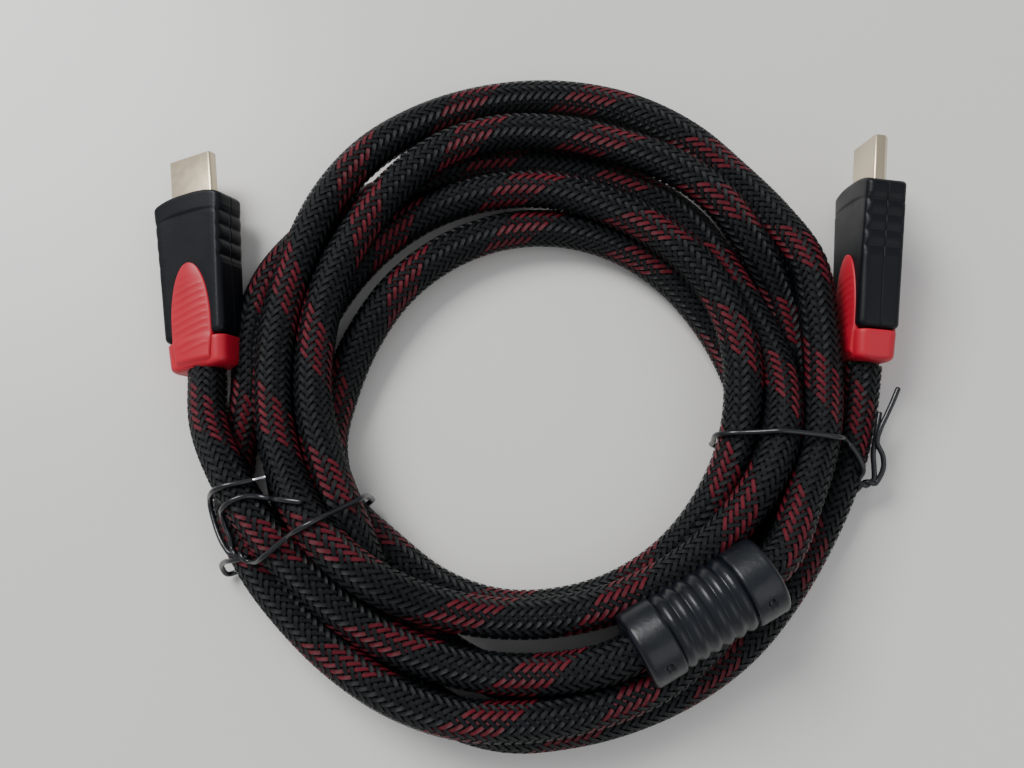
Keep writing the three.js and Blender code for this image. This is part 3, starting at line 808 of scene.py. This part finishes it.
# The shell's section (x, z): a broad top and a narrower foot, corners rounded
def shellRing(grow):
    w, h = plug["shellWidth"] / 2 + grow, plug["shellHeight"] / 2 + grow
    f = plug["shellFoot"] / 2 + grow * 0.6
    rise = -plug["shellHeight"] / 2 + plug["shellFootRise"] - grow * 0.4
    corners = [(f, -h, 0.5), (w, rise, 0.5), (w, h, 0.75)]
    corners += [(-x, z, r) for x, z, r in reversed(corners)]
    ring = []
    for i, (x, z, r) in enumerate(corners):
        here = Vector((x, z))
        before = (Vector(corners[i - 1][:2]) - here).normalized()
        after = (Vector(corners[(i + 1) % 6][:2]) - here).normalized()
        r = max(0.15, r + grow)
        for k in range(6):  # a soft corner between its two sides
            t = k / 5
            a, b = here + before * r, here + after * r
            ring.append(tuple(a * (1 - t) ** 2 + here * 2 * t * (1 - t) + b * t * t))
    return ring


def shellPiece(side):
    mouth, wall, lip, foot = plug["shellReach"], plug["shellWall"], 0.12, -1.5
    rows = [(foot, 0), (mouth - lip, 0), (mouth, -0.1)]
    rows += [(mouth, -wall + 0.08), (mouth - lip, -wall), (foot, -wall)]
    verts, around = [], len(shellRing(0))
    for y, grow in rows:
        verts += [(x, y, z) for x, z in shellRing(grow)]
    faces = loftFaces(len(rows), around, capStart=False, capEnd=False)
    last = (len(rows) - 1) * around
    for j in range(around):
        k = (j + 1) % around
        faces.append((j, k, last + k, last + j))
    points = placed(side.lower(), verts)
    piece = meshPiece(f"plugShell{side}", points, faces, [shellGold], sharp=50)
    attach(piece, "root")
    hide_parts(f"plug_{side.lower()}_shell")
    return piece


# Contacts: two rows of blades on the block's slot
contacts = {
    "upper": 10,
    "lower": 9,
    "pitch": 1.0,
    "width": 0.45,
    "height": 0.18,
    "length": 6.4,
    "behindMouth": 1.2,
    "slotHeight": 1.5,
    "proud": 0.03,
}


def contactTree():
    t = Tree("contactRow")
    t.socket("Geometry", "NodeSocketGeometry")
    t.socket("Count", "NodeSocketInt", value=10)
    t.socket("Pitch", "NodeSocketFloat", value=0.001)
    t.socket("Size", "NodeSocketVector")
    t.socket("Metal", "NodeSocketMaterial")
    t.socket("Geometry", "NodeSocketGeometry", "OUTPUT")
    count = t.given("Count")
    span = t.math("MULTIPLY", t.math("SUBTRACT", count, 1), t.given("Pitch"))
    start = t.put("ShaderNodeCombineXYZ", {0: t.math("MULTIPLY", span, -0.5)})
    step = t.put("ShaderNodeCombineXYZ", {0: t.given("Pitch")})
    line = t.put(
        "GeometryNodeMeshLine",
        {"Count": count, "Start Location": start.outputs[0], "Offset": step.outputs[0]},
    )
    blade = t.put("GeometryNodeMeshCube", {"Size": t.given("Size")})
    spread = t.put(
        "GeometryNodeInstanceOnPoints",
        {"Points": line.outputs[0], "Instance": blade.outputs["Mesh"]},
    )
    real = t.put("GeometryNodeRealizeInstances", {"Geometry": spread.outputs[0]})
    dressed = t.put(
        "GeometryNodeSetMaterial",
        {"Geometry": real.outputs[0], "Material": t.given("Metal")},
    )
    t.links.new(dressed.outputs[0], t.outputs.inputs["Geometry"])
    return t.tree


contactRow = contactTree()


def contactPieces(side):
    s, made = contacts, []
    for row, face in (("upper", 1), ("lower", -1)):
        seed = bpy.data.objects.new(f"contacts{row.title()}{side}", bpy.data.meshes.new("seed"))
        bpy.context.scene.collection.objects.link(seed)
        piece = grown(
            seed,
            contactRow,
            {
                "Count": s[row],
                "Pitch": s["pitch"] * mm,
                "Size": (s["width"] * mm, s["length"] * mm, s["height"] * mm),
                "Metal": contactGold,
            },
        )
        middle = plug["shellReach"] - s["behindMouth"] - s["length"] / 2
        shift = Vector((0, middle, face * (s["slotHeight"] / 2 - s["height"] / 2 + s["proud"])))
        points = placed(side.lower(), [v.co / mm + shift for v in piece.data.vertices])
        for v, p in zip(piece.data.vertices, points):
            v.co = p * mm
        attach(piece, "root")
        made.append(piece)
    return made


for side in ("Left", "Right"):
    [collarPiece(side), gripPiece(side), shellPiece(side)] + contactPieces(side)


# Choke: a ribbed moulding with smooth end blocks and small moulding pits
choke = {
    "centre": (43.99, -57.95, 20.6),
    "turn": 29.8,
    "length": 38.3,
    "radius": 10.0,
    "bore": 5.5,
    "endBlock": 9.0,
    "ribs": 6,
    "ribDepth": 0.75,
    "edgeRound": 1.5,
    "ribSoft": 0.55,
    "neck": 0.25,  # how far the ribs stay under the end blocks
    "neckRun": 0.8,
    "pitWidth": 1.15,
    "rows": 150,
    "around": 96,
    # along, degrees round and depth
    "pits": ((-14.4, 131, 1.0), (14.2, 127, 1.0), (-14.4, 250, 1.0), (14.2, 250, 1.0)),
}


def chokePiece():
    s = choke
    half, ringCount, neck = s["length"] / 2, s["around"], s["neck"]
    middle = half - s["endBlock"]
    rows = []
    for i in range(9):  # rounded rim
        a = math.pi / 2 * i / 8
        inset = s["edgeRound"] * (1 - math.cos(a))
        rows.append((-half + s["edgeRound"] * (1 - math.sin(a)), s["radius"] - inset))
    rows.reverse()
    for i in range(1, s["rows"]):
        x = -half + s["edgeRound"] + (s["length"] - 2 * s["edgeRound"]) * i / s["rows"]
        r = s["radius"]
        if abs(x) < middle:
            wave = 0.5 - 0.5 * math.cos(2 * math.pi * (x + middle) / (2 * middle) * s["ribs"])
            r -= neck + s["ribDepth"] * (1 - wave ** s["ribSoft"])
        else:
            r -= neck * smoothStep((middle + s["neckRun"] - abs(x)) / s["neckRun"])
        rows.append((x, r))
    rows += [(-x, r) for x, r in reversed(rows[:9])]
    verts = []
    for x, r in [(-half, s["bore"])] + rows + [(half, s["bore"])]:
        for j in range(ringCount):
            a = 2 * math.pi * j / ringCount
            pit = 0.0
            for px, angle, depth in s["pits"]:
                da = (math.degrees(a) - angle + 180) % 360 - 180
                gap = math.hypot(x - px, math.radians(da) * s["radius"]) / s["pitWidth"]
                pit += depth * (1 - smoothStep((gap - 0.55) / 0.6))
            rr = r - (pit if r > s["radius"] - 1.6 else 0)
            verts.append((x, rr * math.cos(a), rr * math.sin(a)))
    rings = len(rows) + 2
    faces = loftFaces(rings, ringCount, capStart=False, capEnd=False)
    last = (rings - 1) * ringCount
    for j in range(ringCount):  # the bore
        k = (j + 1) % ringCount
        faces.append((j, last + j, last + k, k))
    turn = math.radians(s["turn"])
    c, n = math.cos(turn), math.sin(turn)
    x0, y0, z0 = s["centre"]
    placedVerts = [(x0 + x * c - y * n, y0 + x * n + y * c, z0 + z) for x, y, z in verts]
    piece = meshPiece("cableChoke", placedVerts, faces, [chokeBlack], sharp=50)
    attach(piece, "root")
    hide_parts("ferrite_choke")
    return piece


chokeBody = chokePiece()
print("choke made:", len(chokeBody.data.polygons), "faces")


# Twist ties: one coated wire each, twisted once, with two loose ends
wire = {
    "diameter": 1.4,
    "core": 0.8,
    "bareEnd": 4.2,
    "sides": 12,
    "step": 0.8,
    "twistRadius": 0.53,
}
ties = {
    "Left": {
        "bare": True,
        "over": [
            (-67.6, -45.6, 16.5), (-65.2, -45.9, 19.8), (-62.8, -44.9, 22.9), (-59.7, -42.5, 24),
            (-56.7, -40.3, 25.4), (-54.2, -39.2, 28.5), (-50.8, -37.6, 29.9), (-47.6, -35.7, 28.7),
            (-45.1, -34, 25.9), (-42.5, -32.2, 23.3), (-40, -30.4, 20.7), (-39.2, -29.2, 17),
            (-39.2, -28.8, 12.9), (-39.1, -28.7, 8.8), (-39.1, -28.7, 4.8),
        ],
        "under": [
            (-39.1, -28.7, 4.8), (-42.2, -30.6, 1.7), (-46.5, -32.8, 0.9), (-50.8, -35.1, 0.9),
            (-55.1, -37.3, 0.9), (-59.5, -39.5, 0.9), (-63.8, -41.7, 0.9), (-68.1, -43.9, 1),
            (-72.5, -46.1, 1.3), (-76.8, -48, 2.2), (-77.5, -46.2, 6.1), (-75.6, -45.3, 10.4),
            (-72.7, -45.2, 14.3),
        ],
        "twist": [
            (-68.4, -44.9, 16.3), (-72.9, -43, 14.8),
        ],
        "endA": [
            (-75.5, -41, 13.4), (-77.3, -38, 12.4), (-78.7, -34.8, 11.8), (-79.8, -31.4, 11.8),
            (-79.4, -29.3, 14.2), (-78.3, -28.9, 17.5), (-76.6, -28.3, 20.6), (-73.6, -27.4, 22.3),
            (-70.1, -26.7, 22.1), (-66.8, -25.8, 21.3), (-63.5, -25.2, 22.5),
        ],
        "endB": [
            (-73.4, -39.5, 14.9), (-75, -36.2, 14.9), (-75.3, -33.8, 17), (-74.3, -32.9, 20.3),
            (-71.9, -31.3, 22.4), (-68.6, -30.1, 22.6), (-65.1, -30, 21.5), (-62, -30.6, 22.5),
            (-59.8, -31.1, 25.4), (-56.8, -31.6, 27.4), (-53.3, -32.1, 28.2),
        ],
    },
    "Right": {
        "bare": False,
        "over": [
            (88.2, -24.1, 9.5), (88.7, -22.1, 12.5), (87.1, -18.6, 13.9), (84.7, -15.7, 15.4),
            (82.6, -15, 18.6), (80.3, -15.1, 22), (76.5, -14.9, 23.4), (72.5, -14.5, 23.8),
            (68.4, -14.2, 24.6), (64.4, -14, 24.9), (60.7, -13.9, 23.1), (56.9, -13.8, 21.6),
            (53.1, -13.7, 20.3), (50.5, -13.5, 17.2), (50.4, -13.5, 13.2), (51, -13.8, 9.1),
            (51.2, -13.8, 5),
        ],
        "under": [
            (51.2, -13.8, 5), (54.6, -14.7, 2), (59.2, -16, 1.2), (63.8, -17.4, 0.9),
            (68.5, -18.7, 0.9), (73.1, -20.1, 0.9), (77.8, -21.4, 1), (82.4, -22.8, 1.1),
            (87, -24.3, 1.7), (89.1, -26.1, 4.6),
        ],
        "twist": [
            (88.4, -25.5, 8.6), (92.8, -24.5, 8.4),
        ],
        "endA": [
            (92.8, -20.9, 9.1), (92.6, -17.3, 9.9), (93, -13.9, 11.1), (93.6, -10.4, 11.9),
            (94.4, -6.9, 12.1),
        ],
        "endB": [
            (94.9, -21.5, 9.6), (94.8, -17.9, 10.7), (93.2, -14.6, 11.8), (94.1, -11, 12.7),
            (95.8, -7.6, 13.2), (97.5, -4.2, 13.6), (99.1, -0.7, 14),
        ],
    },
}


def tubeAlong(points, radius, sides, first):
    last = len(points) - 1
    rows, normal = [], None
    for i, p in enumerate(points):
        t = (points[min(i + 1, last)] - points[max(i - 1, 0)]).normalized()
        normal = normal or t.orthogonal().normalized()
        normal = (normal - t * normal.dot(t)).normalized()
        rows.append((p, t, normal, radius))

    def roundEnd(row, way, angles):
        p, t, n, r = row
        turns = [math.radians(a) for a in angles]
        return [(p + t * way * r * 0.7 * math.sin(a), t, n, r * math.cos(a)) for a in turns]

    rings = roundEnd(rows[0], -1, (80, 55, 28)) + rows + roundEnd(rows[-1], 1, (28, 55, 80))
    verts = []
    for p, t, n, r in rings:
        b = t.cross(n)
        for j in range(sides):
            a = 2 * math.pi * j / sides
            verts.append(p + n * r * math.cos(a) + b * r * math.sin(a))
    return verts, loftFaces(len(rings), sides, first)


def twistTurn(tie, phase):
    start, end = (Vector(p) for p in tie["twist"])
    axis = end - start
    sideways = Vector((0, 0, 1)).cross(axis).normalized()
    lift = axis.normalized().cross(sideways)
    points = []
    for i in range(7):
        a = phase + i / 6 * 2 * math.pi
        out = (sideways * math.cos(a) + lift * math.sin(a)) * wire["twistRadius"]
        points.append(start + axis * (i / 6) + out)
    return points


def tiePiece(side, tie):
    wireA = list(reversed(tie["endA"])) + list(reversed(twistTurn(tie, 0))) + tie["over"]
    wireB = tie["under"] + twistTurn(tie, math.pi) + tie["endB"]
    verts, faces, slots = [], [], []
    bare = wire["bareEnd"] if tie["bare"] else 0
    for points, cut in ((wireA, bare), (wireB, 0)):
        line = smoothLine(points, wire["step"])[0]
        skip = round(cut / wire["step"])
        runs = [(line[skip:], wire["diameter"] / 2, 0)]
        if skip:
            runs.append((line[: skip + 2], wire["core"] / 2, 1))
        for run, radius, slot in runs:
            v, f = tubeAlong(run, radius, wire["sides"], len(verts))
            verts += v
            faces += f
            slots += [slot] * len(f)
    piece = meshPiece(f"twistTie{side}", verts, faces, [wireCoat, wireBare], slots)
    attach(piece, "root")
    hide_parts(f"twist_tie_{side.lower()}")
    return piece


for side, tie in ties.items():
    tiePiece(side, tie)
print("ties made:", len(ties))

# The contact blocks are the frame's own solids
for side in ("left", "right"):
    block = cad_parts[f"plug_{side}_contact_block"]
    block.data.materials.clear()
    block.data.materials.append(blockBlack)

# Stage and light
stage = {
    "floorSize": 6.0,
    "floorColor": (0.72, 0.705, 0.68),
    "skyColor": (0.93, 0.96, 1.0),
    "skyStrength": 0.5,
    "lights": (  # place, width and power
        ("windowLight", (-0.9, 0.9, 1.3), 0.9, 34),
        ("roomLight", (1.0, -0.7, 1.4), 1.4, 6),
    ),
}


def makeStage(size):
    mesh = bpy.data.meshes.new("paleFloor")
    h = size["floorSize"] / 2
    mesh.from_pydata([(-h, -h, 0), (h, -h, 0), (h, h, 0), (-h, h, 0)], [], [(0, 1, 2, 3)])
    floor = bpy.data.objects.new("paleFloor", mesh)
    bpy.context.scene.collection.objects.link(floor)
    mesh.materials.append(material("paleFloor", size["floorColor"], 0.3, specular=0.4)[0])
    world = bpy.data.worlds.new("softRoom")
    bpy.context.scene.world = world
    world.use_nodes = True
    sky = world.node_tree.nodes["Background"]
    sky.inputs["Color"].default_value = (*size["skyColor"], 1)
    sky.inputs["Strength"].default_value = size["skyStrength"]
    for name, place, width, power in size["lights"]:
        data = bpy.data.lights.new(name, "AREA")
        data.shape = "SQUARE"
        data.size = width
        data.energy = power
        lamp = bpy.data.objects.new(name, data)
        bpy.context.scene.collection.objects.link(lamp)
        lamp.location = place
        lamp.rotation_euler = (-Vector(place)).to_track_quat("-Z", "Y").to_euler()


makeStage(stage)
print("stage set")
